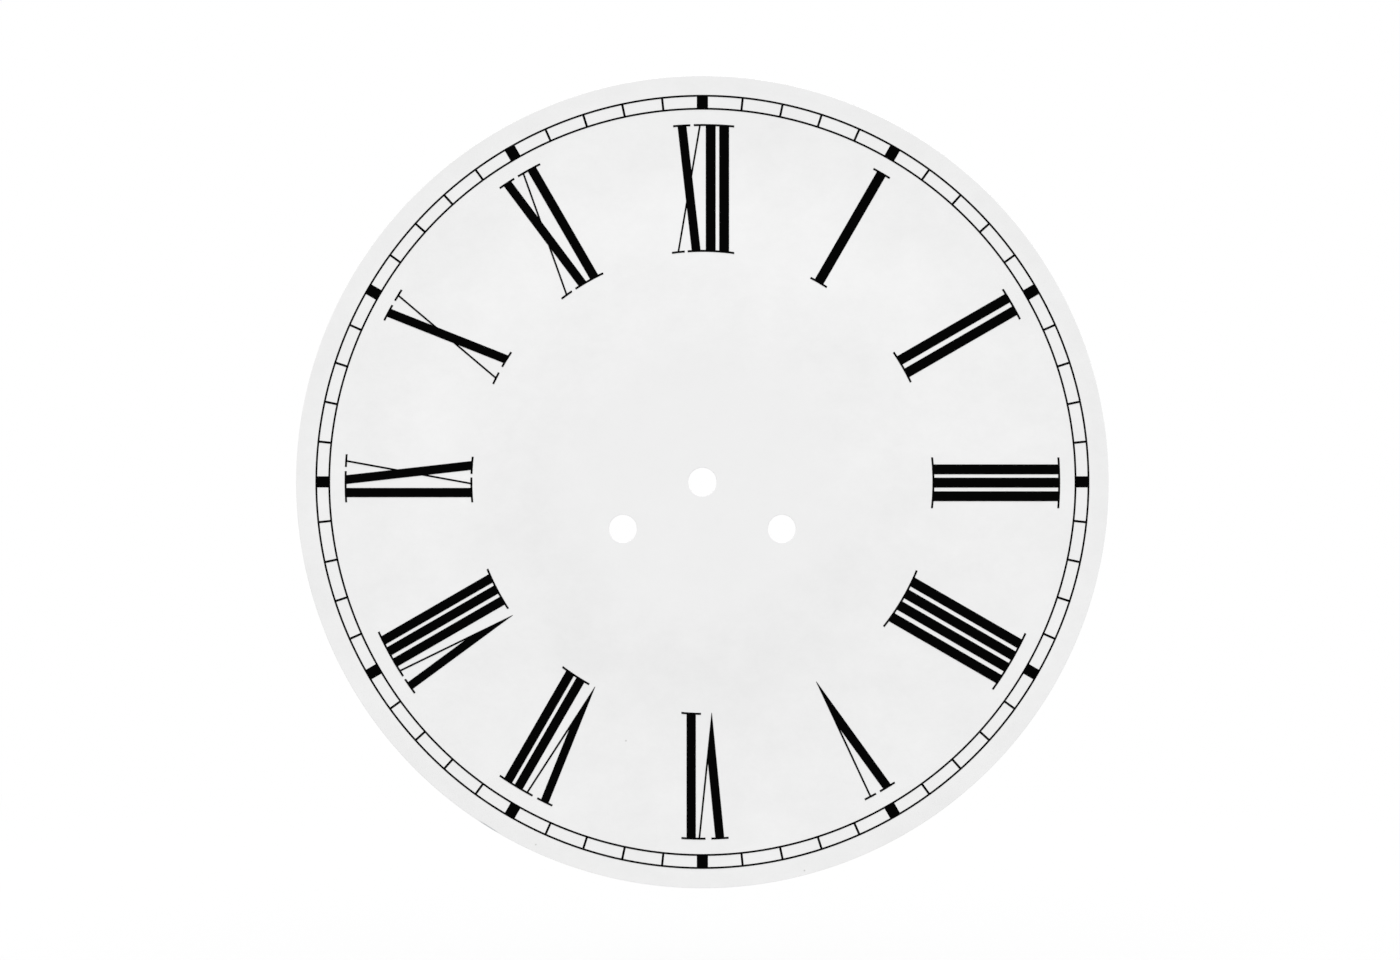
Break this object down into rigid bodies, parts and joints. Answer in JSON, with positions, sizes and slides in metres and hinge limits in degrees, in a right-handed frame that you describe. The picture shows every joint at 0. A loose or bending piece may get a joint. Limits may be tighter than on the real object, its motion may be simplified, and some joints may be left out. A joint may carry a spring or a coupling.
{
  "type": "clock dial",
  "caption": "Round white sheet-metal clock dial with radial Roman numerals, a closed minute track, a hand hole, winding holes and cross-drilled dial feet behind the rim.",
  "frame": {"origin": "on the axis of the hand hole, at the back face of the flat centre, where a movement's front plate or hand bush seats", "axes": "+Z to twelve o'clock, -Y out of the face towards the reader, +X to three o'clock; the rim's back lies at y = +2 mm and the feet point along +Y"},
  "size_m": [0.254, 0.0194, 0.254],
  "materials": {
    "sheet_metal": "mill-finished sheet with fine rolling lines",
    "white_enamel": "stoved satin-gloss white",
    "black_print": "screen-printed satin black",
    "foot_brass": "turned"
  },
  "bodies": {
    "root": {"dial_plate": "sheet_metal", "white_ground": "white_enamel", "outer_track_line": "black_print", "inner_track_line": "black_print", "minute_marks": "black_print", "five_minute_marks": "black_print", "numeral_i": "black_print", "numeral_ii": "black_print", "numeral_iii": "black_print", "numeral_iiii": "black_print", "numeral_v": "black_print", "numeral_vi": "black_print", "numeral_vii": "black_print", "numeral_viii": "black_print", "numeral_ix": "black_print", "numeral_x": "black_print", "numeral_xi": "black_print", "numeral_xii": "black_print", "upper_right_foot": "foot_brass", "lower_right_foot": "foot_brass", "lower_left_foot": "foot_brass", "upper_left_foot": "foot_brass"}
  },
  "joints": []
}
